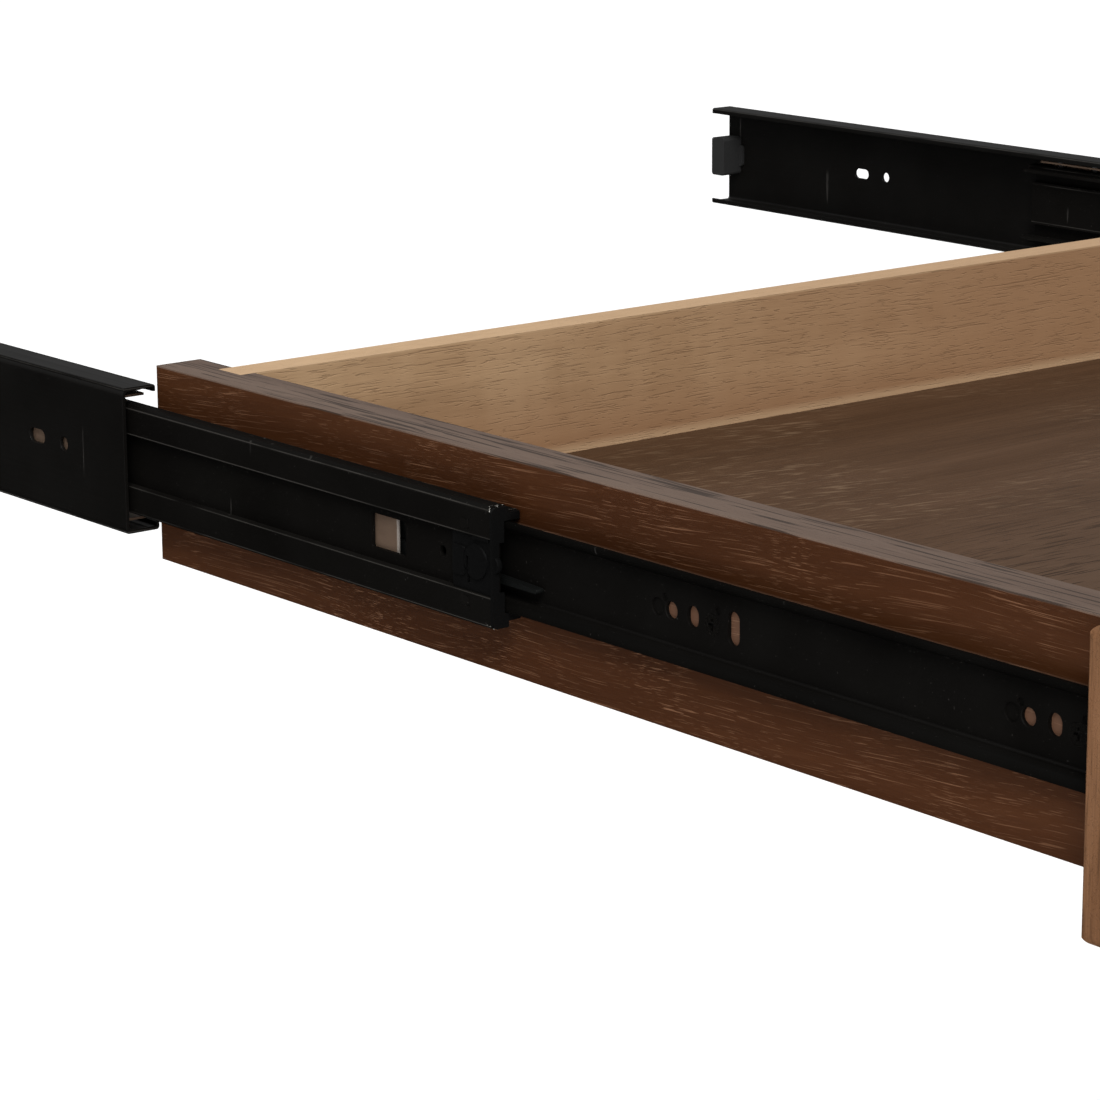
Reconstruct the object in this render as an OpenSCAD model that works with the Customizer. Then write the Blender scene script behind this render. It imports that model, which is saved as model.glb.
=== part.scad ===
// Wooden under desk drawer on a pair of three-section ball-bearing slides.
// The drawer stands fully open. Origin: the centre of the desk's opening, at the
// front ends of the two case members (Y = 0) and on the slides' centreline (Z = 0).
// The drawer opens towards -Y, +Z is up, and +X is to the right seen from the front.

/* [Opening] */
// Clear width between the two case faces that the slides screw to
opening_w = 600; // [420:10:900]

/* [Drawer box] */
// Height of the drawer sides
side_h = 61; // [58:1:90]
// Thickness of the drawer sides and the inner box front
side_t = 16; // [14:1:20]
// Thickness of the back panel
back_t = 12; // [9:1:16]
// Length of the sides that runs on behind the back panel
back_set = 17.5; // [8:0.5:40]
// Thickness of the bottom panel
bottom_t = 9; // [5:0.5:10]
// Height of the bottom panel's underside above the lower edge of the sides
bottom_rise = 10; // [9:0.5:12]
// Height of the slides' centreline above the lower edge of the sides
slide_rise = 32.5; // [31:0.5:36]

/* [Front panel] */
// Thickness of the front panel
front_t = 20; // [16:1:25]
// Gap between the front panel and the opening, each side
front_gap = 1; // [1:0.5:4]
// How far the front panel stands above the sides
front_over = 1.5; // [0:0.5:10]
// How far the front panel hangs below the sides, as a finger grip
front_under = 13.5; // [5:0.5:30]
// Radius of the front panel's edges
front_round = 3; // [2:0.5:5]

/* [Slides] */
// Nominal length of the slides, which is also the drawer's travel
slide_l = 400; // [400:10:600]
// Height of the case member
case_h = 45.7; // [45:0.1:46]
// Height of the intermediate member
inter_h = 34.2; // [34:0.1:34.4]
// Height of the drawer member
drawer_h = 25.1; // [24.9:0.1:25.3]
// Thickness of the members' steel sheet
sheet = 1.2; // [1:0.1:1.3]
// Distance of the intermediate member's front end behind the front panel, when open
inter_back = 221; // [200:1:240]
// Centre distance between the first and second screw groups
hole_pitch = 128; // [96:32:128]

/* [Hidden] */
$fn = 48;

// Space that one slide takes between the case and the drawer box
slide_t = 12.7;

// Length of a cut that goes right through a slide
through = 20;

// Heights of the box, from the slides' centreline
side_low = -slide_rise;
side_top = side_low + side_h;
bottom_low = side_low + bottom_rise;
bottom_top = bottom_low + bottom_t;

// Widths of the box, from the middle
box_half = opening_w / 2 - slide_t;
inner_half = box_half - side_t;
front_half = opening_w / 2 - front_gap;

// Depths of the box with the drawer open
box_y0 = -slide_l;
box_y1 = 0;
inner_y0 = box_y0 + side_t;
back_y1 = box_y1 - back_set;
back_y0 = back_y1 - back_t;
groove_d = 6;
groove_gap = 0.2;
edge_gap = 0.5;
dado_d = 5;

// Front panel, whose upright back edges are only just broken
back_round = 0.8;
front_y0 = box_y0 - front_t;
front_low = side_low - front_under;
front_top = side_top + front_over;

// Dowels in the front corners
dowel_r = 3;
dowel_in_side = 10;
dowel_in_front = 20;
dowel_zs = [side_low + 5, side_top - 12.5];
dowel_y = box_y0 + side_t / 2;

// Screws that hold the front panel, and the back panel to the bottom
front_screw_xs = [for (k = [-3, -1, 1, 3]) k * inner_half / 4];
front_screw_z = bottom_top + 21;
bottom_screw_xs = [for (k = [-3, -1, 1, 3]) k * inner_half / 4];
bottom_screw_y = (back_y0 + back_y1) / 2;

// Case member, in the slide's own frame: X = 0 is the case's face
case_d = 12;
case_lip = 1.05;
case_round = 2.5;
case_hole_r = 2.25;
case_hole_y0 = 35;
case_hole_pitch = 128;
case_holes = [for (k = [0 : 2]) case_hole_y0 + k * case_hole_pitch];
case_slot_step = 16;

// Front face of the rear bumper, which the closed drawer member rests against
bumper_y0 = slide_l - 8.8;

// Intermediate member
inter_l = slide_l - 28;
inter_y0 = -slide_l + inter_back;
inter_y1 = inter_y0 + inter_l;
inter_x0 = 2.6;
inter_x1 = 12.2;
inter_round = 1.5;
step_x = 8.2;
step_h = 1.8;
step_round = 0.5;
web_x = 5;
web_half = 9.3;
window_l = 16.2;
window_h = 10;
window_round = 0.7;
window_back = 49.4;
window_z = 0.3;
peep_r = 1.5;
peep_back = 24.2;
peep_z = 0.3;

// Notches staked into the shoulders, which lock the end retainer
stake_back = 9.3;
stake_l = 4.5;
stake_h = 3.2;
stake_depth = 0.6;
stake_z = 10.8;

// Catch tab bent in from the intermediate member's web
tab_back = 15;
tab_t = 1.2;
tab_x1 = 9;
tab_z0 = 4.2;
tab_z1 = 8;

// Plastic end retainer: its length in the recess and its plugs' length in the channel
retainer_l = 17.6;
retainer_plug = 6;
retainer_lip = 1;
retainer_in = 0.2;
passage_gap = 0.35;

// Its face: a round boss, a pad and a rib stand proud, and an upright slit runs through
relief = 0.6;
boss_back = 6.9;
boss_z = 0.7;
boss_r = 4.9;
pad_back = 11.9;
pad_l = 5.2;
pad_h = 8.2;
rib_back = 1;
rib_l = 7;
rib_h = 0.9;
slit_back = 10;
slit_w = 1.1;
slit_h = 7.6;
slit_z = -2;
nub_r = 2.6;
nub_z = 0.8;
nub_out = 1.4;
retainer_h = web_half - sheet - 0.1;

// Drawer member
drawer_l = slide_l - 8;
drawer_y0 = -slide_l;
drawer_y1 = drawer_y0 + drawer_l;
drawer_x0 = 7.5;
drawer_corner = 0.7;
drawer_bend = 1.6;
drawer_flange = 10.4;
web_face = slide_t - sheet;
group_y = [for (k = [0, hole_pitch, slide_l - 80]) drawer_y0 + 28 + k];
round_hole_r = 2.3;
chamfer = 0.2;
pit_r = 2.5;
pit_step = 5.4;
pit_depth = 0.6;
dimple_r = 1.1;
dimples = [[2.6, 3.1], [-18.1, 3.3]];
slot_w = 4.5;
short_slot_h = 5.8;
tall_slot_h = 9.1;
short_slot_step = 8.6;
screw_step = 16;
screw_z = -0.6;
tall_slot_step = 24.4;

// Ball races: centre of the balls in the slide's section, radius and race clearance
race_gap = 0.06;
outer_r = 2.38;
outer_x = 7.2;
outer_z = (case_h / 2 - sheet + inter_h / 2) / 2;
inner_r = 1.8;
inner_x = drawer_x0 + sheet + race_gap + inner_r;
inner_z = drawer_flange + race_gap + inner_r;

// Ball cages
cage_t = 0.6;
strip_t = 0.8;
outer_cage_y0 = 4;
outer_cage_l = 180;
outer_cage_x0 = 1.6;
outer_cage_x1 = 10.4;
inner_cage_y0 = inter_y0 + 46.8;
inner_cage_l = 120;
inner_cage_x0 = 6.5;
inner_cage_x1 = 11.9;
inner_arm_z = inner_z + 1;
ball_pitch = 20;

// Disconnect lever and its rivet
pivot_y = inter_y0 + 66;
lever_x0 = 8.2;
lever_x1 = 10.9;
lever_half = 6;
lever_tip_y = inter_y0 - 13;
lever_catch_y = inter_y0 + tab_back + tab_t + 0.4;
finger_z = -4.3;
finger_drop = 0.5;
finger_r = 0.6;
finger_root = 1.2;
spring_l = 14;
spring_t = 0.9;
spring_z = -8.3;
rivet_r = 2;
rivet_head_r = 3.4;
pin_gap = 0.06;

// Pan-head screws of the box, and countersunk screws of the slides
screw_r = 1.9;
screw_head_r = 3.6;
screw_head_t = 1.8;
flat_head_r = 3;
flat_r = 1.75;
flat_l = 13.2;
head_gap = 0.05;
cross_w = 0.7;
wood_gap = 0.03;

oak = "#5b3a26";
oak_front = "#8a6547";
oak_back = "#a98d66";
oak_bottom = "#7a604b";
black_steel = "#1a1a1c";
black_plastic = "#222224";
zinc = "#b8b4ad";
ball_steel = "#d0d2d4";
beech = "#c7a577";

// ---------- helpers ----------

// Box from its lowest to its highest corner
module block(low, high) {
    translate(low) cube(high - low);
}

// Outline drawn in X and Z, drawn out along Y from y0 to y1
module along_y(y0, y1) {
    translate([0, y1, 0]) rotate([90, 0, 0]) linear_extrude(y1 - y0) children();
}

// Outline drawn in Y and Z, drawn out along X from x0 to x1
module along_x(x0, x1) {
    translate([x0, 0, 0]) rotate([90, 0, 90]) linear_extrude(x1 - x0) children();
}

// Rectangle with round corners between two opposite corners
module round_rect(low, high, r) {
    translate([low.x + r, low.y]) square([high.x - low.x - 2 * r, high.y - low.y]);
    translate([low.x, low.y + r]) square([high.x - low.x, high.y - low.y - 2 * r]);
    for (x = [low.x + r, high.x - r], y = [low.y + r, high.y - r]) {
        translate([x, y]) circle(r);
    }
}

// Round hole along X, through the whole slide
module hole(y, z, r) {
    translate([-1, y, z]) rotate([0, 90, 0]) cylinder(r = r, h = through);
}

// Round pit in the drawer member's web
module pit(y, z, r) {
    translate([web_face - pit_depth, y, z]) rotate([0, 90, 0]) cylinder(r = r, h = 2 * pit_depth);
}

// Round-ended slots through a web: one upright, one lying along the slide
module upright_slot(y, w, h) {
    for (s = [-1, 1]) hole(y, s * (h - w) / 2, w / 2);
    block([-1, y - w / 2, -(h - w) / 2], [through - 1, y + w / 2, (h - w) / 2]);
}

module level_slot(y, w, l) {
    for (s = [-1, 1]) hole(y + s * (l - w) / 2, 0, w / 2);
    block([-1, y - (l - w) / 2, -w / 2], [through - 1, y + (l - w) / 2, w / 2]);
}

// Pan-head screw along +X, with its head's seat at X = 0
module screw(length) {
    difference() {
        union() {
            translate([-screw_head_t, 0, 0]) rotate([0, 90, 0])
                cylinder(r1 = screw_head_r - 0.7, r2 = screw_head_r, h = screw_head_t / 2);
            translate([-screw_head_t / 2, 0, 0]) rotate([0, 90, 0])
                cylinder(r = screw_head_r, h = screw_head_t / 2);
            rotate([0, 90, 0]) cylinder(r = screw_r, h = length - 3);
            translate([length - 3, 0, 0]) rotate([0, 90, 0]) cylinder(r1 = screw_r, r2 = 0.3, h = 3);
        }
        cross_recess(-screw_head_t, 4);
    }
}

// Cross cut into a head whose top lies at X = x
module cross_recess(x, w) {
    for (a = [0, 90]) {
        rotate([a, 0, 0]) translate([x - 1, -w / 2, -cross_w / 2]) cube([1.8, w, cross_w]);
    }
}

// Countersunk screw along +X, with the top of its head at X = 0
module flat_screw() {
    difference() {
        rotate([0, 90, 0]) union() {
            cylinder(r1 = flat_head_r, r2 = flat_r, h = flat_head_r - flat_r);
            cylinder(r = flat_r, h = flat_l - 3);
            translate([0, 0, flat_l - 3]) cylinder(r1 = flat_r, r2 = 0.3, h = 3);
        }
        cross_recess(0, 3.2);
    }
}

// Straight hole for a screw's shank, from X = 0
module screw_hole(length) {
    translate([-0.01, 0, 0]) rotate([0, 90, 0]) cylinder(r = screw_r + wood_gap, h = length);
}

// The left slide is drawn from the case's face, and the right one is the same part turned over
module on_left() {
    translate([-opening_w / 2, 0, 0]) children();
}

module on_right() {
    rotate([0, 180, 0]) on_left() children();
}

// Centres of the balls along one cage
function ball_ys(y0, l) = [for (k = [0 : floor((l - 20) / ball_pitch)]) y0 + 10 + k * ball_pitch];

// ---------- drawer box ----------

module front_panel() {
    color(oak_front) difference() {
        intersection() {
            along_y(front_y0, box_y0)
                round_rect([-front_half, front_low], [front_half, front_top], front_round);
            along_x(-front_half, front_half)
                round_rect([front_y0, front_low], [box_y0, front_top], front_round);
            translate([0, 0, front_low]) linear_extrude(front_top - front_low) {
                round_rect([-front_half, front_y0], [front_half, box_y0 - back_round], front_round);
                round_rect([-front_half, front_y0 + front_round], [front_half, box_y0], back_round);
            }
        }
        for (x = front_screw_xs) {
            translate([x, box_y0 + 1, front_screw_z]) rotate([0, 0, -90]) screw_hole(front_t - 4);
        }
    }
}

module box_front() {
    color(oak) difference() {
        block([-inner_half, box_y0, side_low], [inner_half, inner_y0, side_top]);
        block([-inner_half - 1, inner_y0 - groove_d, bottom_low - groove_gap / 2],
            [inner_half + 1, inner_y0 + 1, bottom_top + groove_gap / 2]);
        for (x = front_screw_xs) {
            translate([x, inner_y0 + 1, front_screw_z]) rotate([0, 0, -90]) screw_hole(side_t + 2);
        }
        dowel_holes();
    }
}

// The left side panel, which the right one mirrors, with its screw holes at height z
module side_panel(z) {
    difference() {
        block([-box_half, box_y0, side_low], [-inner_half, box_y1, side_top]);
        block([-inner_half - groove_d, box_y0 - 1, bottom_low - groove_gap / 2],
            [-inner_half + 1, box_y1 + 1, bottom_top + groove_gap / 2]);
        block([-inner_half - dado_d, back_y0, bottom_top], [-inner_half + 1, back_y1, side_top + 1]);
        dowel_holes();
        for (y = group_y) {
            translate([-box_half - 0.01, y - screw_step, z]) rotate([0, 90, 0])
                cylinder(r = flat_r + wood_gap, h = flat_l - sheet + 1);
        }
    }
}

module side_left() {
    color(oak) side_panel(screw_z);
}

module side_right() {
    color(oak) mirror([1, 0, 0]) side_panel(-screw_z);
}

module back_panel() {
    color(oak_back) difference() {
        block([-inner_half - dado_d, back_y0, bottom_top], [inner_half + dado_d, back_y1, side_top]);
        for (x = bottom_screw_xs) {
            translate([x, bottom_screw_y, bottom_top - 1]) rotate([0, -90, 0]) screw_hole(20);
        }
    }
}

module bottom_panel() {
    half = inner_half + groove_d - edge_gap;
    color(oak_bottom) difference() {
        block([-half, inner_y0 - groove_d + edge_gap, bottom_low], [half, back_y1, bottom_top]);
        for (x = bottom_screw_xs) {
            translate([x, bottom_screw_y, bottom_low - 1]) rotate([0, -90, 0]) screw_hole(bottom_t + 2);
        }
    }
}

// Dowels and their holes in the two front corners
module dowels(gap) {
    for (s = [-1, 1], z = dowel_zs) {
        translate([s * (inner_half + (dowel_in_side - dowel_in_front) / 2), dowel_y, z]) rotate([0, 90, 0])
            cylinder(r = dowel_r + gap, h = dowel_in_side + dowel_in_front + 2 * gap, center = true);
    }
}

module dowel_holes() {
    dowels(wood_gap);
}

module front_dowels() {
    color(beech) dowels(0);
}

module front_screws() {
    color(zinc) for (x = front_screw_xs) {
        translate([x, inner_y0, front_screw_z]) rotate([0, 0, -90]) screw(side_t + front_t - 7);
    }
}

module bottom_screws() {
    color(zinc) for (x = bottom_screw_xs) {
        translate([x, bottom_screw_y, bottom_low]) rotate([0, -90, 0]) screw(bottom_t + 15);
    }
}

// ---------- slide sections ----------

// Both race circles at the height z
module races(x, z, r) {
    for (s = [-1, 1]) translate([x, s * z]) circle(r + race_gap);
}

module case_section() {
    h = case_h / 2;
    difference() {
        round_rect([0, -h], [case_d, h], 1);
        translate([0, -h - 1]) square([0.5, 2 * h + 2]);
        round_rect([sheet, -h + sheet], [case_d + 20, h - sheet], sheet);
        races(outer_x, outer_z, outer_r);
    }
    difference() {
        round_rect([0, -h], [case_d, h], case_round);
        translate([sheet, -h]) square([case_d, 2 * h]);
    }
    for (s = [-1, 1]) {
        translate([case_d - 0.9, s * (h - sheet - case_lip / 2) - case_lip / 2])
            square([0.9, case_lip + 0.2]);
    }
}

// Outline of the intermediate member, drawn in by gap: its flanges step down behind the outer races
module inter_outline(gap) {
    h = inter_h / 2 - gap;
    low = h - step_h;
    round_rect([inter_x0, -h], [step_x - step_round, h], inter_round);
    round_rect([web_x, -h], [step_x, h], step_round);
    translate([web_x, -low]) square([inter_x1 - web_x, 2 * low]);
}

module inter_section() {
    h = inter_h / 2 - sheet;
    low = h - step_h;
    difference() {
        inter_outline(0);
        round_rect([inter_x0 + sheet, -h], [step_x - sheet, h], inter_round - sheet);
        translate([web_x, -low]) square([10, 2 * low]);
        translate([0, -web_half + sheet]) square([web_x, 2 * (web_half - sheet)]);
        races(outer_x, outer_z, outer_r);
        races(inner_x, inner_z, inner_r);
    }
    translate([web_x, -web_half]) square([sheet, 2 * web_half]);
    for (s = [-1, 1]) {
        translate([inter_x0, s * (web_half - sheet / 2) - sheet / 2])
            square([web_x + sheet - inter_x0, sheet]);
    }
}

// The drawer member's flanges end in hooks that wrap half under the inner balls
module drawer_section() {
    difference() {
        union() {
            difference() {
                round_rect([drawer_x0, -drawer_flange], [slide_t, drawer_flange], drawer_bend);
                translate([0, -drawer_h]) square([inner_x, 2 * drawer_h]);
            }
            for (s = [-1, 1]) intersection() {
                translate([inner_x, s * inner_z]) circle(inner_r + race_gap + sheet);
                translate([0, -drawer_h / 2]) square([inner_x, drawer_h]);
            }
        }
        round_rect([0, -drawer_flange + sheet], [web_face, drawer_flange - sheet], drawer_corner);
        races(inner_x, inner_z, inner_r);
    }
}

// ---------- slide members ----------

module case_member() {
    color(black_steel) difference() {
        along_y(0, slide_l) case_section();
        for (y = case_holes) {
            hole(y, 0, case_hole_r);
            level_slot(y + case_slot_step, slot_w, tall_slot_h);
        }
    }
}

module rear_bumper() {
    color(black_plastic) {
        along_x(sheet, slide_t - 0.5) round_rect([bumper_y0, -9], [slide_l, 9], 1.5);
        along_x(sheet, sheet + 1.4) round_rect([slide_l - 11, -5], [slide_l - 5, 5], 1.5);
    }
}

module intermediate() {
    color(black_steel) difference() {
        union() {
            along_y(inter_y0, inter_y1) inter_section();
            block([web_x + sheet / 2, inter_y0 + tab_back, tab_z0],
                [tab_x1, inter_y0 + tab_back + tab_t, tab_z1]);
        }
        along_x(web_x - 1, web_x + 2) round_rect(
            [inter_y0 + window_back - window_l / 2, window_z - window_h / 2],
            [inter_y0 + window_back + window_l / 2, window_z + window_h / 2], window_round);
        translate([web_x - 1, inter_y0 + peep_back, peep_z]) rotate([0, 90, 0]) cylinder(r = peep_r, h = 3);
        for (s = [-1, 1]) translate([0, 0, s * stake_z]) stake();
    }
}

// Wedge cut into a shoulder, deepest at its front
module stake() {
    y = inter_y0 + stake_back;
    linear_extrude(stake_h, center = true) polygon([
        [inter_x0 - 0.1, y + stake_l],
        [inter_x0 - 0.1, y],
        [inter_x0 + stake_depth, y]
    ]);
}

// Outline of the end retainer's lip: the member's own outline, less the drawer member's way through
module lip_section() {
    way = drawer_h / 2 + passage_gap;
    difference() {
        inter_outline(retainer_in);
        translate([inner_cage_x0 + 0.3, -way]) square([10, 2 * way]);
        translate([web_x, -7]) square([10, 14]);
    }
}

// What stands proud on the retainer's face
module retainer_relief() {
    translate([inter_y0 + boss_back, boss_z]) circle(boss_r);
    round_rect([inter_y0 + pad_back, -pad_h / 2], [inter_y0 + pad_back + pad_l, pad_h / 2], 1);
    translate([inter_y0 + rib_back, retainer_h - rib_h]) square([rib_l, rib_h]);
}

// Plastic guide in the intermediate member's front end: a slit plate in the recess with a nub
// in front, a lip over the sheet's end and two plugs beside the ball races
module end_retainer() {
    plug_z = drawer_h / 2 + passage_gap;
    plug_h = inter_h / 2 - sheet - step_h - 0.1;
    x0 = inter_x0 + 0.2;
    x1 = web_x - 0.02;
    front = inter_y0 - retainer_lip;
    color(black_plastic) {
        difference() {
            union() {
                along_x(x0 + relief, x1) {
                    round_rect([front + 0.1, -retainer_h], [inter_y0 + retainer_l, retainer_h], 1.2);
                    translate([front + nub_r - nub_out, nub_z]) circle(nub_r);
                }
                along_x(x0, x0 + relief + 0.01) retainer_relief();
            }
            translate([0, inter_y0 + slit_back, slit_z - slit_h / 2]) cube([through, slit_w, slit_h]);
        }
        along_y(front, inter_y0 - 0.02) lip_section();
        for (s = [-1, 1]) {
            low = min(s * plug_z, s * plug_h);
            high = max(s * plug_z, s * plug_h);
            block([inter_x0 + sheet + 0.2, inter_y0 - 0.1, low],
                [inter_x1, inter_y0 + retainer_plug, high]);
        }
    }
}

module drawer_member() {
    color(black_steel) difference() {
        along_y(drawer_y0, drawer_y1) drawer_section();
        for (y = group_y) {
            hole(y, 0, round_hole_r);
            translate([web_face, y, 0]) rotate([0, 90, 0])
                cylinder(r1 = round_hole_r + chamfer, r2 = round_hole_r, h = chamfer);
            upright_slot(y - short_slot_step, slot_w, short_slot_h);
            pit(y + pit_step, 0, pit_r);
            for (d = dimples) pit(y + d[0], d[1], dimple_r);
            translate([web_face, y - screw_step, screw_z]) rotate([0, 90, 0])
                cylinder(r1 = flat_head_r + head_gap, r2 = flat_r + head_gap, h = flat_head_r - flat_r);
            hole(y - screw_step, screw_z, flat_r + head_gap);
        }
        for (y = [group_y[1], group_y[2]]) upright_slot(y - tall_slot_step, slot_w, tall_slot_h);
        hole(pivot_y, 0, rivet_r + 0.02);
    }
}

module slide_screws() {
    color(black_steel) for (y = group_y) {
        translate([web_face, y - screw_step, screw_z]) flat_screw();
    }
}

// One cage: a flat bridge and a row of ball seats above and below it
module cage(x0, x1, y0, l, z, r) {
    h = z + strip_t / 2;
    color(zinc) difference() {
        union() {
            block([x0, y0, -h], [x0 + cage_t, y0 + l, h]);
            for (s = [-1, 1]) block([x0, y0, s * z - strip_t / 2], [x1, y0 + l, s * z + strip_t / 2]);
        }
        for (s = [-1, 1], y = ball_ys(y0, l)) {
            translate([x0 < 5 ? outer_x : inner_x, y, s * z]) cylinder(r = r + 0.05, h = 4, center = true);
        }
    }
}

module balls(x, y0, l, z, r) {
    color(ball_steel) for (s = [-1, 1], y = ball_ys(y0, l)) {
        translate([x, y, s * z]) sphere(r = r);
    }
}

module outer_cage() {
    cage(outer_cage_x0, outer_cage_x1, outer_cage_y0, outer_cage_l, outer_z, outer_r);
}

module outer_balls() {
    balls(outer_x, outer_cage_y0, outer_cage_l, outer_z, outer_r);
}

module inner_cage() {
    cage(inner_cage_x0, inner_cage_x1, inner_cage_y0, inner_cage_l, inner_arm_z, inner_r);
}

module inner_balls() {
    balls(inner_x, inner_cage_y0, inner_cage_l, inner_z, inner_r);
}

// Plastic lever that hooks behind the intermediate member's tab
module lever() {
    color(black_plastic) difference() {
        union() {
            along_x(lever_x0, lever_x1) {
                round_rect([lever_catch_y, -lever_half], [pivot_y, lever_half], 1.2);
                translate([pivot_y, 0]) circle(lever_half);
                polygon([
                    [lever_catch_y + 3, finger_z - finger_root],
                    [lever_tip_y + finger_r, finger_z - finger_drop - finger_r],
                    [lever_tip_y + finger_r, finger_z - finger_drop + finger_r],
                    [lever_catch_y + 3, finger_z + finger_root]
                ]);
                translate([lever_tip_y + finger_r, finger_z - finger_drop]) circle(finger_r);
                round_rect([pivot_y - spring_l, spring_z], [pivot_y - 2, spring_z + spring_t], 0.4);
                round_rect([pivot_y - 4, spring_z], [pivot_y - 2, -3], 0.4);
            }
            translate([lever_x1 - 0.1, pivot_y, 0]) rotate([0, 90, 0]) cylinder(r = 4, h = 0.6);
        }
        hole(pivot_y, 0, rivet_r + pin_gap);
        block([lever_x0 - 1, lever_catch_y + 10, -1.5], [lever_x0 + 1, pivot_y - 10, 1.5]);
    }
}

module lever_rivet() {
    color(zinc) {
        translate([lever_x0 - 0.7, pivot_y, 0]) rotate([0, 90, 0]) {
            cylinder(r = rivet_head_r, h = 0.6);
            translate([0, 0, 0.5]) cylinder(r = rivet_r, h = slide_t - lever_x0 + 0.2);
        }
    }
}

front_panel();
box_front();
side_left();
side_right();
back_panel();
bottom_panel();
front_dowels();
front_screws();
bottom_screws();
on_left() case_member();  // case_member_left
on_right() case_member();  // case_member_right
on_left() rear_bumper();  // rear_bumper_left
on_right() rear_bumper();  // rear_bumper_right
on_left() intermediate();  // intermediate_left
on_right() intermediate();  // intermediate_right
on_left() end_retainer();  // end_retainer_left
on_right() end_retainer();  // end_retainer_right
on_left() drawer_member();  // drawer_member_left
on_right() drawer_member();  // drawer_member_right
on_left() slide_screws();  // slide_screws_left
on_right() slide_screws();  // slide_screws_right
on_left() outer_cage();  // outer_cage_left
on_right() outer_cage();  // outer_cage_right
on_left() outer_balls();  // outer_balls_left
on_right() outer_balls();  // outer_balls_right
on_left() inner_cage();  // inner_cage_left
on_right() inner_cage();  // inner_cage_right
on_left() inner_balls();  // inner_balls_left
on_right() inner_balls();  // inner_balls_right
on_left() lever();  // lever_left
on_right() lever();  // lever_right
on_left() lever_rivet();  // lever_rivet_left
on_right() lever_rivet();  // lever_rivet_right
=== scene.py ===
"""Looks of the under desk drawer: oak drawer box on black ball-bearing slides."""

import math

import bpy
from mathutils import Matrix, Vector


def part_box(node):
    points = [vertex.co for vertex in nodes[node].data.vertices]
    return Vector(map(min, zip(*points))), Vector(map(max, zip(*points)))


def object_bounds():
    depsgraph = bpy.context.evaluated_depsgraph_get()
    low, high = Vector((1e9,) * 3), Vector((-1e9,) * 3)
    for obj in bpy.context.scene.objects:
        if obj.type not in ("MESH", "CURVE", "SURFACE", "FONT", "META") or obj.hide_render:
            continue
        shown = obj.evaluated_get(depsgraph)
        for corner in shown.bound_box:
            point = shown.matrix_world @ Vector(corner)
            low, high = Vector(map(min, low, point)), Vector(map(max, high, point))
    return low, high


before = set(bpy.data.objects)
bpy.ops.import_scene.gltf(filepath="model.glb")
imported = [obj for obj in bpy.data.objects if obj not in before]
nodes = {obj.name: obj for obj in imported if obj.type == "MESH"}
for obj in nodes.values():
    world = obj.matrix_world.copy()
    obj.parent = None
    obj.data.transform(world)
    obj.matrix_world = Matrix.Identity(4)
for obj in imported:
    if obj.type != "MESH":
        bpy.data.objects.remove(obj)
cad_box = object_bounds()
SIDES = ("left", "right")
MM = 0.001

# Floor below the object, and half its width
FLOOR_DROP = 0.62
FLOOR_HALF = 30.0

# Camera: its place, and how far it turns from +Y towards +X, looks down and leans, in degrees
CAMERA_PLACE = (-0.9026, -0.9617, 0.2474)
CAMERA_TURN = 38.654
CAMERA_DOWN = 13.754
CAMERA_ROLL = -0.36
CAMERA_LENS = 123.4

# Soft sun from the front left, and a weak lamp low on the left
KEY_TOWARDS = (0.45, 0.55, -0.75)
KEY_ANGLE = 30
KEY_STRENGTH = 2.6
FILL_PLACE = (-0.85, -0.95, -0.45)
FILL_AIM = (-0.29, -0.3, -0.02)
FILL_SIZE = 0.5
FILL_POWER = 2.9

# Edges: angle above which a CAD edge is softened, and distance within which its points are one
SHARP = 35
WELD = 0.00001


# ---------- node-tree helpers ----------

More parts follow.
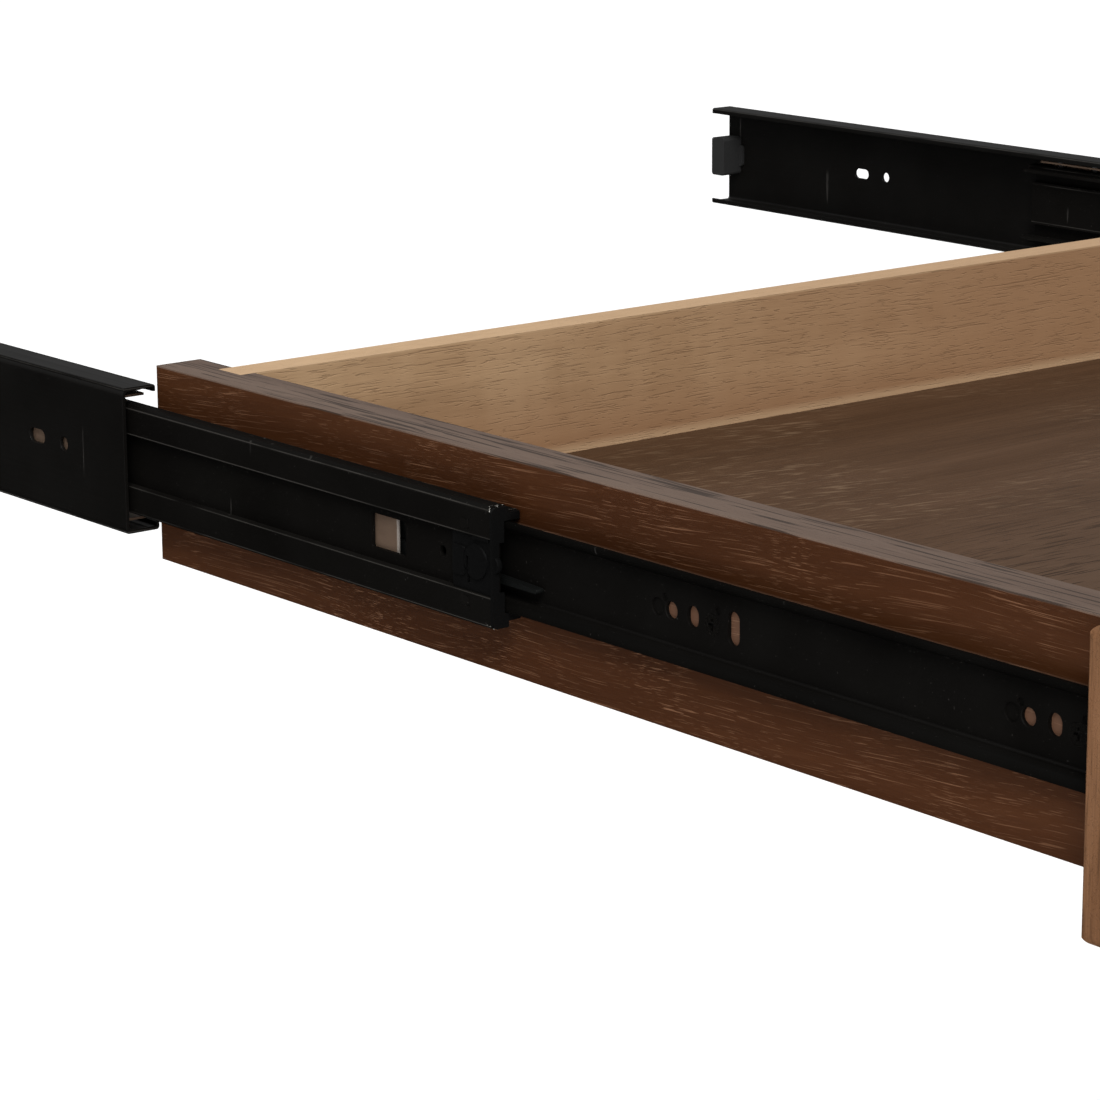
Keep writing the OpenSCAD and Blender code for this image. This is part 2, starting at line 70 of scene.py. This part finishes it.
class Shader:
    """A material whose nodes are added one call at a time."""

    def __init__(self, name):
        self.material = bpy.data.materials.new(name)
        self.material.use_nodes = True
        self.tree = self.material.node_tree
        self.tree.nodes.clear()
        out = self.tree.nodes.new("ShaderNodeOutputMaterial")
        self.bsdf = self.tree.nodes.new("ShaderNodeBsdfPrincipled")
        self.link(self.bsdf.outputs[0], out.inputs[0])
        self.place = self.tree.nodes.new("ShaderNodeTexCoord").outputs["Object"]

    def link(self, source, target):
        self.tree.links.new(source, target)

    def put(self, value, socket):
        """Sets a socket to a number, a colour or another node's output."""
        if isinstance(value, bpy.types.NodeSocket):
            self.link(value, socket)
        else:
            socket.default_value = value

    def math(self, operation, a, b=0.0):
        node = self.tree.nodes.new("ShaderNodeMath")
        node.operation = operation
        self.put(a, node.inputs[0])
        self.put(b, node.inputs[1])
        return node.outputs[0]

    def plus(self, a, b):
        return self.math("ADD", a, b)

    def times(self, a, b):
        return self.math("MULTIPLY", a, b)

    def larger(self, a, b):
        return self.math("MAXIMUM", a, b)

    def off_centre(self, index):
        """Distance from the middle plane across one axis."""
        return self.math("ABSOLUTE", self.axis(self.place, index))

    def turned(self, vector, degrees=(0, 0, 0), scale=(1, 1, 1)):
        node = self.tree.nodes.new("ShaderNodeMapping")
        node.inputs["Rotation"].default_value = [math.radians(d) for d in degrees]
        node.inputs["Scale"].default_value = scale
        self.link(vector, node.inputs["Vector"])
        return node.outputs[0]

    def add(self, a, b):
        node = self.tree.nodes.new("ShaderNodeVectorMath")
        node.operation = "ADD"
        self.put(a, node.inputs[0])
        self.put(b, node.inputs[1])
        return node.outputs[0]

    def scaled(self, vector, scale):
        node = self.tree.nodes.new("ShaderNodeVectorMath")
        node.operation = "MULTIPLY"
        self.link(vector, node.inputs[0])
        node.inputs[1].default_value = scale
        return node.outputs[0]

    def axis(self, vector, index):
        node = self.tree.nodes.new("ShaderNodeSeparateXYZ")
        self.link(vector, node.inputs[0])
        return node.outputs[index]

    def noise(self, vector, scale=1.0, detail=2.0, rough=0.5, colour=False):
        node = self.tree.nodes.new("ShaderNodeTexNoise")
        self.link(vector, node.inputs["Vector"])
        node.inputs["Scale"].default_value = scale
        node.inputs["Detail"].default_value = detail
        node.inputs["Roughness"].default_value = rough
        return node.outputs["Color" if colour else "Fac"]

    def ramp(self, value, stops):
        """The colour at a value, blended between stops of place and colour."""
        node = self.tree.nodes.new("ShaderNodeValToRGB")
        while len(node.color_ramp.elements) < len(stops):
            node.color_ramp.elements.new(0.5)
        for element, (place, colour) in zip(node.color_ramp.elements, stops):
            element.position = place
            element.color = (*colour, 1)
        self.link(value, node.inputs[0])
        return node.outputs[0]

    def step(self, value, low, high, top=1.0):
        """0 at low and before it, top at high and past it, a straight slope between."""
        node = self.tree.nodes.new("ShaderNodeMapRange")
        node.inputs["From Min"].default_value = low
        node.inputs["From Max"].default_value = high
        node.inputs["To Max"].default_value = top
        self.link(value, node.inputs["Value"])
        return node.outputs[0]

    def mix(self, factor, a, b):
        node = self.tree.nodes.new("ShaderNodeMix")
        node.data_type = "RGBA"
        self.put(factor, node.inputs[0])
        for value, socket in ((a, node.inputs[6]), (b, node.inputs[7])):
            self.put((*value, 1) if isinstance(value, tuple) else value, socket)
        return node.outputs[2]

    def bump(self, height, depth, strength):
        node = self.tree.nodes.new("ShaderNodeBump")
        node.inputs["Strength"].default_value = strength
        node.inputs["Distance"].default_value = depth
        self.link(height, node.inputs["Height"])
        self.link(node.outputs[0], self.bsdf.inputs["Normal"])

    def colour(self, value):
        self.put(value, self.bsdf.inputs["Base Color"])

    def roughness(self, value):
        self.put(value, self.bsdf.inputs["Roughness"])


# ---------- wood ----------

def stretched(s, place, grain, length, width):
    """The place scaled so that a unit of noise is length metres along the grain, width across."""
    return s.scaled(place, [1 / length if i == grain else 1 / width for i in range(3)])


def flecks(s, place, grain, length, width, low=0.6, high=0.68):
    """Thin dashes along the grain: 0 between them and 1 inside them."""
    return s.step(s.noise(stretched(s, place, grain, length, width), detail=1.0), low, high)


def wandering(s, place, grain, drift, length=0.4):
    """The place pushed from side to side over length metres, so that the grain isn't straight."""
    wander = s.noise(stretched(s, place, grain, length, length / 3), detail=2.0, colour=True)
    wander = s.add(wander, (-0.5, -0.5, -0.5))
    return s.add(place, s.scaled(wander, [0.0 if i == grain else drift for i in range(3)]))


def board(s, place, grain, tones, pore, contrast=1.0, band=0.018):
    """The colour of a board before its flecks: growth bands, streaks, fibres and slow drifts.
    tones are the dark, middle and light colours."""
    bands = s.noise(stretched(s, place, grain, 18 * band, band), detail=4.0, rough=0.6)
    streaks = s.noise(stretched(s, place, grain, 0.11, 0.0016), detail=3.0, rough=0.6)
    fibres = s.noise(stretched(s, place, grain, 0.025, 0.0004), detail=2.0)
    mood = s.noise(stretched(s, place, grain, 0.25, 0.07), detail=2.0)
    tone = s.ramp(bands, [(0.34, tones[0]), (0.5, tones[1]), (0.68, tones[2])])
    tone = s.mix(s.step(streaks, 0.35, 0.7, 0.4 * contrast), tone, tones[0])
    tone = s.mix(s.step(mood, 0.42, 0.72, 0.45 * contrast), tone, tones[2])
    tone = s.mix(s.step(fibres, 0.45, 0.7, 0.25 * contrast), tone, pore)
    return tone, streaks, fibres


def finish_wood(s, tone, streaks, fibres, pores, rough=0.42, specular=0.14):
    """Satin lacquer over the grain, sunk a little into the fibres and pores."""
    s.colour(tone)
    s.roughness(s.plus(s.step(streaks, 0.2, 0.8, 0.12), rough - 0.06))
    s.bsdf.inputs["Specular IOR Level"].default_value = specular
    s.bump(s.math("SUBTRACT", s.times(fibres, 0.3), pores), 0.00015, 0.6)
    return s.material


def side_oak(name, low, high, covered):
    """Dark red-brown boards with thin light pores that thicken into cloudy patches, a painted sheen
    of pale taupe with dark pores on their top face, and painted light that makes the wood paler
    behind the slide, where it shows through the slide's holes. low and high are the left side's
    corners, and covered is the slide's half height."""
    s = Shader(name)
    place = wandering(s, s.turned(s.place, degrees=(2, 0, 0)), 1, 0.018, length=0.2)
    tones = ((0.039, 0.0122, 0.0036), (0.052, 0.0170, 0.0054), (0.067, 0.0236, 0.0080))
    light = (0.215, 0.105, 0.054)
    tone, streaks, fibres = board(s, place, 1, tones, (0.080, 0.033, 0.014), contrast=0.6)
    patches = s.step(s.noise(s.scaled(place, (30.0, 42.0, 24.0)), detail=2.0), 0.44, 0.62)
    threads = flecks(s, place, 1, 0.032, 0.00032, 0.635, 0.68)
    ticks = flecks(s, place, 1, 0.0055, 0.0003, 0.61, 0.69)
    threads = s.times(threads, s.plus(s.times(patches, 0.45), 0.45))
    ticks = s.times(ticks, s.plus(s.times(patches, 0.32), 0.06))
    pores = s.larger(threads, ticks)
    tone = s.mix(s.times(pores, 0.66), tone, light)

    # Painted light: on the outer face, within the slide's height, the wood that shows through the
    # slide's holes is painted paler.
    outside = s.step(s.off_centre(0), -low.x - 0.0006, -low.x - 0.0003)
    behind = s.step(s.off_centre(2), covered, covered - 0.0005)
    shown = s.mix(threads, (0.17, 0.10, 0.068), (0.28, 0.175, 0.12))
    tone = s.mix(s.times(s.times(outside, behind), 0.4), tone, shown)

    # Painted sheen: the top face is painted a pale greyish taupe with dark pores, standing for the
    # light it reflects.
    sheen_taupe = ((0.100, 0.065, 0.048), (0.127, 0.086, 0.065), (0.152, 0.105, 0.079))
    top_sheen, _, _ = board(s, s.place, 1, sheen_taupe, (0.060, 0.039, 0.028), contrast=0.4)
    dashes = flecks(s, s.place, 1, 0.036, 0.0009, 0.56, 0.60)
    top_sheen = s.mix(s.times(dashes, 0.8), top_sheen, (0.030, 0.020, 0.015))
    top_face = s.step(s.axis(s.place, 2), high.z - 0.0006, high.z - 0.0003)
    tone = s.mix(top_face, tone, top_sheen)
    return finish_wood(s, tone, streaks, fibres, pores)


def front_oak(name, tones, pore, amount=0.5, half=None):
    """Mid-brown boards with the grain along X and dark open pores. Where half, the board's half
    length, is given, its ends have a lipping with upright grain."""
    s = Shader(name)
    place = wandering(s, s.place, 0, 0.02)
    tone, streaks, fibres = board(s, place, 0, tones, pore)
    threads = flecks(s, place, 0, 0.014, 0.0008)
    ticks = flecks(s, place, 0, 0.005, 0.0006, 0.68, 0.76)
    pores = s.larger(threads, ticks)
    tone = s.mix(s.times(pores, amount), tone, pore)
    if half:
        leaning = wandering(s, s.place, 2, 0.004, length=0.1)
        upright, _, _ = board(s, leaning, 2, tones, pore, band=0.005)
        lines = flecks(s, s.place, 2, 0.016, 0.0009, 0.6, 0.7)
        upright = s.mix(s.times(lines, 0.5), upright, pore)
        end = s.step(s.off_centre(0), half - 0.0031, half - 0.0028)
        tone = s.mix(end, tone, upright)
    return finish_wood(s, tone, streaks, fibres, pores)


def back_oak(name, low, high):
    """Pale tan board, mottled across the grain, with small dark specks, a redder right end, and
    painted highlights along its top and bottom edges.
    low and high are its lowest and highest corners."""
    s = Shader(name)
    place = wandering(s, s.place, 0, 0.015)
    tones = ((0.365, 0.230, 0.124), (0.455, 0.290, 0.160), (0.525, 0.344, 0.195))
    tone, streaks, fibres = board(s, place, 0, tones, (0.17, 0.096, 0.050), contrast=0.6)
    mottle = s.noise(s.scaled(s.place, (55.0, 55.0, 16.0)), detail=3.0)
    tone = s.mix(s.step(mottle, 0.42, 0.68, 0.45), tone, (0.56, 0.375, 0.218))
    redder = s.step(s.axis(s.place, 0), -0.22, 0.05, 0.75)
    lower = s.step(s.axis(s.place, 2), high.z - 0.008, low.z, 0.9)
    tone = s.mix(s.larger(redder, lower), tone, (0.280, 0.148, 0.075))
    specks = flecks(s, place, 0, 0.004, 0.0007, 0.64, 0.72)
    pores = s.larger(specks, flecks(s, place, 0, 0.012, 0.0005))
    tone = s.mix(s.times(pores, 0.24), tone, (0.15, 0.082, 0.042))
    # Painted highlights: a soft pale band along the bottom edge and a thin pale line along the top
    # edge.
    bottom_highlight = s.step(s.axis(s.place, 2), low.z + 0.0036, low.z + 0.001, 0.6)
    top_highlight = s.step(s.axis(s.place, 2), high.z - 0.0007, high.z - 0.0003, 0.5)
    tone = s.mix(s.larger(bottom_highlight, top_highlight), tone, (0.54, 0.37, 0.22))
    return finish_wood(s, tone, streaks, fibres, pores, rough=0.5)


def bottom_oak(name):
    """Brown veneer with the grain along X: soft light rays behind, dark pores at the front."""
    s = Shader(name)
    place = wandering(s, s.place, 0, 0.035)
    tones = ((0.053, 0.0256, 0.0120), (0.071, 0.0360, 0.0177), (0.091, 0.0485, 0.0262))
    pore = (0.045, 0.023, 0.012)
    tone, streaks, fibres = board(s, place, 0, tones, pore, contrast=0.7, band=0.03)
    forward = s.plus(s.axis(place, 1), s.times(s.axis(s.place, 0), -0.35))
    front = s.step(forward, -0.12, -0.2)
    tone = s.mix(s.times(front, 0.5), tone, (0.088, 0.055, 0.036))
    rays = flecks(s, s.turned(place, degrees=(0, 0, 14)), 0, 0.009, 0.0016, 0.55, 0.70)
    clusters = s.step(s.noise(s.scaled(place, (9.0, 22.0, 9.0)), detail=1.0), 0.42, 0.6, 0.5)
    rays = s.times(s.times(rays, clusters), s.math("SUBTRACT", 1.0, front))
    tone = s.mix(rays, tone, (0.180, 0.118, 0.070))
    pores = s.times(flecks(s, place, 0, 0.026, 0.0009, 0.57, 0.64), s.plus(0.25, front))
    tone = s.mix(s.times(pores, 0.7), tone, (0.026, 0.014, 0.008))
    return finish_wood(s, tone, streaks, fibres, pores, rough=0.55, specular=0.1)


# ---------- metal, plastic, rubber ----------

def line_at(s, heights):
    """Thin lines along the slide, heights above and below its centreline: 1 on a line, 0 off it."""
    width = 0.22 * MM
    distance = s.off_centre(2)
    lines = 0.0
    for height in heights:
        away = s.math("ABSOLUTE", s.math("SUBTRACT", distance, height))
        lines = s.larger(s.step(away, width, width / 3), lines)
    return lines


def coated_steel(name, highlight_heights=(), chipped=None, shade_height=None, rough=0.34, specular=0.2):
    """Black electrophoretic coat on rolled sheet: satin, with faint rolling lines, scuffs and dust.
    Given edge heights, it paints thin highlights along those edges, and given a height, it paints
    shade beyond it, darkening the coat and dimming its shine. chipped is the y of the member's
    front end and the height of its edge, where the coat has flaked."""
    s = Shader(name)
    cloud = s.noise(s.place, scale=28.0, detail=3.0)
    lines = s.noise(s.scaled(s.place, (900.0, 14.0, 900.0)), detail=2.0)
    grit = s.noise(s.place, scale=1500.0, detail=1.0)
    scuff = s.noise(s.turned(s.place, degrees=(35, 0, 0), scale=(400.0, 400.0, 22.0)), detail=1.0)
    scuff = s.times(s.step(scuff, 0.74, 0.78), s.step(cloud, 0.5, 0.62))
    tone = s.mix(s.step(cloud, 0.3, 0.75), (0.0026, 0.0022, 0.0018), (0.0043, 0.0038, 0.0032))
    tone = s.mix(s.times(scuff, 0.5), tone, (0.07, 0.065, 0.06))
    tone = s.mix(s.step(grit, 0.74, 0.8, 0.35), tone, (0.07, 0.065, 0.06))
    # Painted highlights: thin paler lines along the edges at the given heights.
    if highlight_heights:
        painted_highlights = s.times(line_at(s, highlight_heights), s.step(s.noise(s.place, scale=45.0), 0.3, 0.55))
        tone = s.mix(s.times(painted_highlights, 0.7), tone, (0.040, 0.037, 0.033))
    if chipped is not None:
        end, edge = chipped
        near_end = s.step(s.axis(s.place, 1), end + 0.0022, end + 0.0004)
        high_up = s.step(s.off_centre(2), edge - 0.0021, edge - 0.0010)
        flakes = s.step(s.noise(s.place, scale=1300.0, detail=2.0), 0.6, 0.64)
        flakes = s.times(flakes, s.times(near_end, high_up))
        tone = s.mix(flakes, tone, (0.34, 0.33, 0.30))
    # Painted shade: beyond the given height the coat is painted near black and its shine is dimmed.
    if shade_height is not None:
        painted_shade = s.step(s.off_centre(2), shade_height, shade_height + 0.0006, 0.35)
        tone = s.mix(painted_shade, tone, (0.0004, 0.0004, 0.0003))
        specular = s.times(s.math("SUBTRACT", 1.0, painted_shade), specular)
    s.colour(tone)
    s.roughness(s.plus(s.plus(s.step(cloud, 0.2, 0.8, 0.12), s.step(lines, 0.2, 0.8, 0.1)), rough))
    s.put(specular, s.bsdf.inputs["Specular IOR Level"])
    s.bump(s.plus(lines, s.times(grit, 0.4)), 0.00002, 0.4)
    return s.material


def zinc_sheet(name, low, high, rough=0.3, metallic=1.0, highlight_end=None):
    """Zinc plate: soft rolling lines and a faint mottle, and where an end is given, a painted
    highlight along the sheet's end ahead of that y.
    """
    s = Shader(name)
    lines = s.noise(s.scaled(s.place, (1500.0, 40.0, 1500.0)), detail=3.0)
    mottle = s.noise(s.place, scale=90.0, detail=3.0)
    tone = s.mix(s.step(mottle, 0.3, 0.7), low, high)
    # Painted highlight: a pale band along the sheet's end.
    if highlight_end is not None:
        tone = s.mix(s.step(s.axis(s.place, 1), highlight_end, highlight_end - 0.0003, 0.8), tone, (0.55, 0.50, 0.45))
    s.colour(tone)
    s.bsdf.inputs["Metallic"].default_value = metallic
    s.roughness(s.plus(s.step(lines, 0.2, 0.8, 0.16), rough))
    s.bump(lines, 0.00002, 0.5)
    return s.material


def moulded(name, low, high, rough, grain=2200.0, specular=0.25):
    """Moulded plastic or rubber: even colour with a fine spark-eroded grain."""
    s = Shader(name)
    fine = s.noise(s.place, scale=grain, detail=2.0)
    cloud = s.noise(s.place, scale=60.0, detail=2.0)
    s.colour(s.mix(cloud, low, high))
    s.roughness(s.plus(s.step(fine, 0.2, 0.8, 0.14), rough))
    s.bsdf.inputs["Specular IOR Level"].default_value = specular
    s.bump(fine, 0.00003, 0.5)
    return s.material


# Dark, middle and light tones of the boards, and of their pores
FRONT_TONES = ((0.116, 0.051, 0.022), (0.152, 0.070, 0.031), (0.184, 0.089, 0.042))
FRONT_PORE = (0.06, 0.027, 0.012)
INNER_TONES = ((0.052, 0.022, 0.011), (0.075, 0.033, 0.017), (0.095, 0.043, 0.022))
INNER_PORE = (0.13, 0.062, 0.03)
DOWEL_TONES = ((0.48, 0.31, 0.17), (0.55, 0.37, 0.21), (0.60, 0.42, 0.25))
DOWEL_PORE = (0.40, 0.25, 0.13)

case_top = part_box("case_member_left")[1].z
middle_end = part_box("intermediate_left")[0].y
middle_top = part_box("intermediate_left")[1].z
drawer_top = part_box("drawer_member_left")[1].z
cage_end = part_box("inner_cage_left")[0].y

side_wood = side_oak("oak_side", *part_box("side_left"), covered=drawer_top - 1 * MM)
front_wood = front_oak("oak_front", FRONT_TONES, FRONT_PORE, half=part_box("front_panel")[1].x)
inner_front_wood = front_oak("oak_inner_front", INNER_TONES, INNER_PORE, amount=0.35)
back_wood = back_oak("oak_back", *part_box("back_panel"))
bottom_wood = bottom_oak("oak_bottom")
dowel_wood = front_oak("beech_dowel", DOWEL_TONES, DOWEL_PORE, amount=0.3)
member_steel = {
    "case_member": coated_steel("black_coat_case", highlight_heights=(case_top - 0.5 * MM,)),
    "intermediate": coated_steel("black_coat_middle", highlight_heights=(middle_top - 0.9 * MM, 8.3 * MM),
                                 chipped=(middle_end, middle_top), rough=0.5, specular=0.06),
    "drawer_member": coated_steel("black_coat_drawer", shade_height=9.3 * MM, rough=0.5, specular=0.08),
}
black_screw = coated_steel("black_screw", rough=0.12, specular=0.5)
cage_zinc = zinc_sheet("cage_zinc", (0.19, 0.125, 0.086), (0.235, 0.160, 0.112),
                       rough=0.4, metallic=0.6, highlight_end=cage_end + 0.9 * MM)
screw_zinc = zinc_sheet("screw_zinc", (0.55, 0.54, 0.50), (0.68, 0.67, 0.63), rough=0.24)
ball_steel = zinc_sheet("ball_steel", (0.68, 0.68, 0.69), (0.78, 0.78, 0.79), rough=0.05)
plastic = moulded("black_plastic", (0.0024, 0.0024, 0.0024), (0.0038, 0.0038, 0.0038),
                  rough=0.4, specular=0.11)
lever_plastic = moulded("lever_plastic", (0.0036, 0.0039, 0.0037), (0.0056, 0.0061, 0.0058),
                        rough=0.4, specular=0.18)
rubber = moulded("black_rubber", (0.012, 0.012, 0.012), (0.018, 0.018, 0.018),
                 rough=0.7, grain=1400.0)


def dress(name, material, edge=0.0, segments=3):
    """Gives a CAD node its material, and softens its sharp edges by edge millimetres."""
    node = nodes[name]
    node.data.materials.clear()
    node.data.materials.append(material)
    if edge:
        weld = node.modifiers.new("weld", "WELD")
        weld.merge_threshold = WELD
        bevel = node.modifiers.new("soft_edges", "BEVEL")
        bevel.width = edge * MM
        bevel.segments = segments
        bevel.limit_method = "ANGLE"
        bevel.angle_limit = math.radians(SHARP)
        bevel.harden_normals = True


dress("front_panel", front_wood)
dress("box_front", inner_front_wood, 0.5)
dress("back_panel", back_wood, 0.4)
dress("bottom_panel", bottom_wood)
dress("front_dowels", dowel_wood, 0.3)
dress("front_screws", screw_zinc)
dress("bottom_screws", screw_zinc)
for side in SIDES:
    dress(f"side_{side}", side_wood, 0.5)
    for part, steel in member_steel.items():
        dress(f"{part}_{side}", steel, 0.15, 2)
    dress(f"end_retainer_{side}", plastic, 0.2, 2)
    dress(f"lever_{side}", lever_plastic, 0.3, 2)
    dress(f"rear_bumper_{side}", rubber, 0.4, 2)
    dress(f"slide_screws_{side}", black_screw, 0.1, 2)
    dress(f"lever_rivet_{side}", screw_zinc, 0.1, 2)
    for part in ("outer", "inner"):
        dress(f"{part}_cage_{side}", cage_zinc, 0.1, 2)
        dress(f"{part}_balls_{side}", ball_steel)


# ---------- floor, light, camera ----------

def make_floor():
    mesh = bpy.data.meshes.new("floor")
    half = FLOOR_HALF
    z = cad_box[0][2] - FLOOR_DROP
    corners = [(-half, -half, z), (half, -half, z), (half, half, z), (-half, half, z)]
    mesh.from_pydata(corners, [], [(0, 1, 2, 3)])
    floor = bpy.data.objects.new("floor", mesh)
    bpy.context.scene.collection.objects.link(floor)
    s = Shader("floor_white")
    s.colour((0.9, 0.9, 0.9, 1))
    s.roughness(0.9)
    mesh.materials.append(s.material)
    floor.visible_glossy = False


def make_light(name, kind, towards, power):
    """A light that shines along towards. Its size and place are set by the caller."""
    data = bpy.data.lights.new(name, kind)
    data.energy = power
    light = bpy.data.objects.new(name, data)
    light.rotation_euler = Vector(towards).to_track_quat("-Z", "Y").to_euler()
    bpy.context.scene.collection.objects.link(light)
    return light


def make_key():
    sun = make_light("key", "SUN", KEY_TOWARDS, KEY_STRENGTH)
    sun.data.angle = math.radians(KEY_ANGLE)


def make_fill():
    lamp = make_light("low_fill", "AREA", Vector(FILL_AIM) - Vector(FILL_PLACE), FILL_POWER)
    lamp.location = FILL_PLACE
    lamp.data.shape = "DISK"
    lamp.data.size = FILL_SIZE


def make_camera():
    """The camera stands ahead of the drawer's front, to its left, and looks down its left side."""
    turn = math.radians(CAMERA_TURN)
    down = math.radians(CAMERA_DOWN)
    roll = math.radians(CAMERA_ROLL)
    level = Vector((math.sin(turn), math.cos(turn), 0))
    look = math.cos(down) * level - math.sin(down) * Vector((0, 0, 1))
    flat = Vector((math.cos(turn), -math.sin(turn), 0))
    steep = flat.cross(look)
    right = math.cos(roll) * flat + math.sin(roll) * steep
    up = math.cos(roll) * steep - math.sin(roll) * flat
    data = bpy.data.cameras.new("camera")
    data.lens = CAMERA_LENS
    data.sensor_width = 36
    data.clip_end = 100
    camera = bpy.data.objects.new("camera", data)
    axes = Matrix((right, up, -look)).transposed().to_4x4()
    camera.matrix_world = Matrix.Translation(CAMERA_PLACE) @ axes
    bpy.context.scene.collection.objects.link(camera)
    bpy.context.scene.camera = camera


def make_world():
    """White to the camera, bright overhead, dark below, and half as bright in reflections."""
    world = bpy.data.worlds.new("studio")
    bpy.context.scene.world = world
    world.use_nodes = True
    tree = world.node_tree
    background = tree.nodes["Background"]
    background.inputs["Color"].default_value = (1, 1, 1, 1)
    split = tree.nodes.new("ShaderNodeSeparateXYZ")
    tree.links.new(tree.nodes.new("ShaderNodeTexCoord").outputs["Generated"], split.inputs[0])
    path = tree.nodes.new("ShaderNodeLightPath")

    def map_range(source, low, high, at_low, at_high):
        node = tree.nodes.new("ShaderNodeMapRange")
        node.inputs["From Min"].default_value = low
        node.inputs["From Max"].default_value = high
        node.inputs["To Min"].default_value = at_low
        node.inputs["To Max"].default_value = at_high
        tree.links.new(source, node.inputs["Value"])
        return node.outputs[0]

    def math_node(operation, a, b):
        node = tree.nodes.new("ShaderNodeMath")
        node.operation = operation
        tree.links.new(a, node.inputs[0])
        tree.links.new(b, node.inputs[1])
        return node.outputs[0]

    level = map_range(split.outputs["Z"], -0.05, 0.5, 0.04, 0.75)
    level = math_node("MULTIPLY", level, map_range(path.outputs["Is Glossy Ray"], 0, 1, 1, 0.5))
    level = math_node("MAXIMUM", level, path.outputs["Is Camera Ray"])
    tree.links.new(level, background.inputs["Strength"])


make_floor()
make_world()
make_key()
make_fill()
make_camera()
bpy.context.scene.view_settings.view_transform = "Standard"
